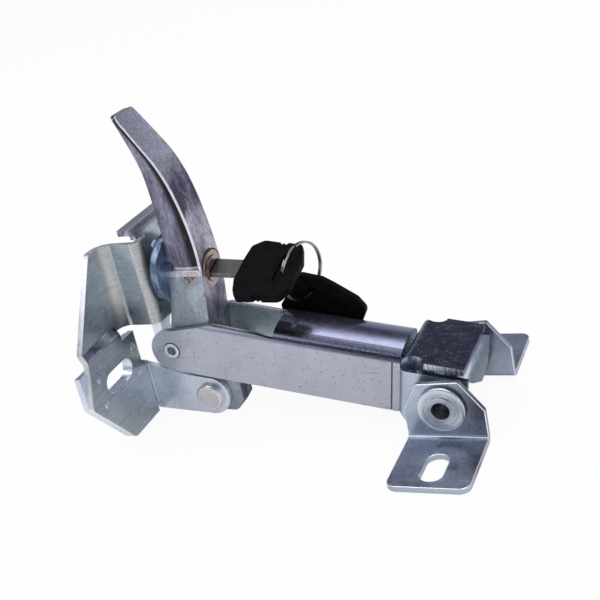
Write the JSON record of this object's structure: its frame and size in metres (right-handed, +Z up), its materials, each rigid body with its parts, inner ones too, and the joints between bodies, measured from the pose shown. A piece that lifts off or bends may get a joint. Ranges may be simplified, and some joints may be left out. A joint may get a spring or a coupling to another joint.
{
  "type": "keyed draw latch",
  "caption": "Keyed over-centre draw latch for a hood: lever handle on a slotted base plate, sprung tension arm and yoke, two hinged slotted catch brackets, key in lock.",
  "frame": {"origin": "centre of the two base slots, on the mounting face of the base plate", "axes": "+X out of the mounting face towards the catches, +Y away from the viewer along the pins, +Z up along the upright handle"},
  "size_m": [0.1647, 0.1226, 0.141],
  "materials": {
    "zinc_steel": "satin",
    "cast_plated": "satin",
    "lock_nickel": "satin",
    "key_nickel": "satin",
    "black_plastic": "matte",
    "ring_chrome": "gloss",
    "spring_steel": "satin"
  },
  "bodies": {
    "base": {"base_plate": "zinc_steel", "near_ear_bracket": "zinc_steel", "far_ear_bracket": "zinc_steel", "handle_pin": "zinc_steel"},
    "handle": {"handle": "cast_plated", "lock_barrel": "lock_nickel"},
    "lock": {"lock_plug": "lock_nickel", "lock_cam": "zinc_steel", "cam_screw": "zinc_steel", "key_blade": "key_nickel", "key_head": "black_plastic", "split_ring": "ring_chrome", "spare_key_blade": "key_nickel", "spare_key_head": "black_plastic"},
    "arm": {"arm_housing": "zinc_steel", "arm_rivet": "zinc_steel", "tension_spring": "spring_steel"},
    "yoke": {"tension_rod": "zinc_steel", "rod_nut": "zinc_steel", "spring_seat": "zinc_steel", "yoke": "zinc_steel", "yoke_nut": "zinc_steel", "cross_tube": "zinc_steel", "near_spacer": "zinc_steel", "far_spacer": "zinc_steel", "near_pivot_head": "zinc_steel", "far_pivot_head": "zinc_steel"},
    "near_catch": {"near_catch_bracket": "zinc_steel"},
    "far_catch": {"far_catch_bracket": "zinc_steel"}
  },
  "joints": [
    {"name": "handle_swing", "type": "hinge", "parent": "base", "child": "handle", "pos_m": [0.0338, 0, -0.0231], "axis": [0, 1, 0], "range_deg": [0, 70]},
    {"name": "lock_turn", "type": "hinge", "parent": "handle", "child": "lock", "pos_m": [0.0464, 0, 0.0365], "axis": [0.9962, 0, -0.0872], "range_deg": [0, 90]},
    {"name": "arm_swing", "type": "hinge", "parent": "handle", "child": "arm", "pos_m": [0.0236, 0, 0.0031], "axis": [0, 1, 0], "range_deg": [-2, 35]},
    {"name": "rod_slide", "type": "slide", "parent": "arm", "child": "yoke", "axis": [0.9816, 0, -0.1908], "range_m": [0, 0.009], "stiffness_N_per_m": 6000, "springref_m": -0.002, "deforming": ["tension_spring"]},
    {"name": "near_catch_swing", "type": "hinge", "parent": "yoke", "child": "near_catch", "pos_m": [0.14781, -0.0253, -0.01615], "axis": [0, 1, 0], "continuous": true},
    {"name": "far_catch_swing", "type": "hinge", "parent": "yoke", "child": "far_catch", "pos_m": [0.14781, 0.0253, -0.01615], "axis": [0, 1, 0], "continuous": true}
  ]
}
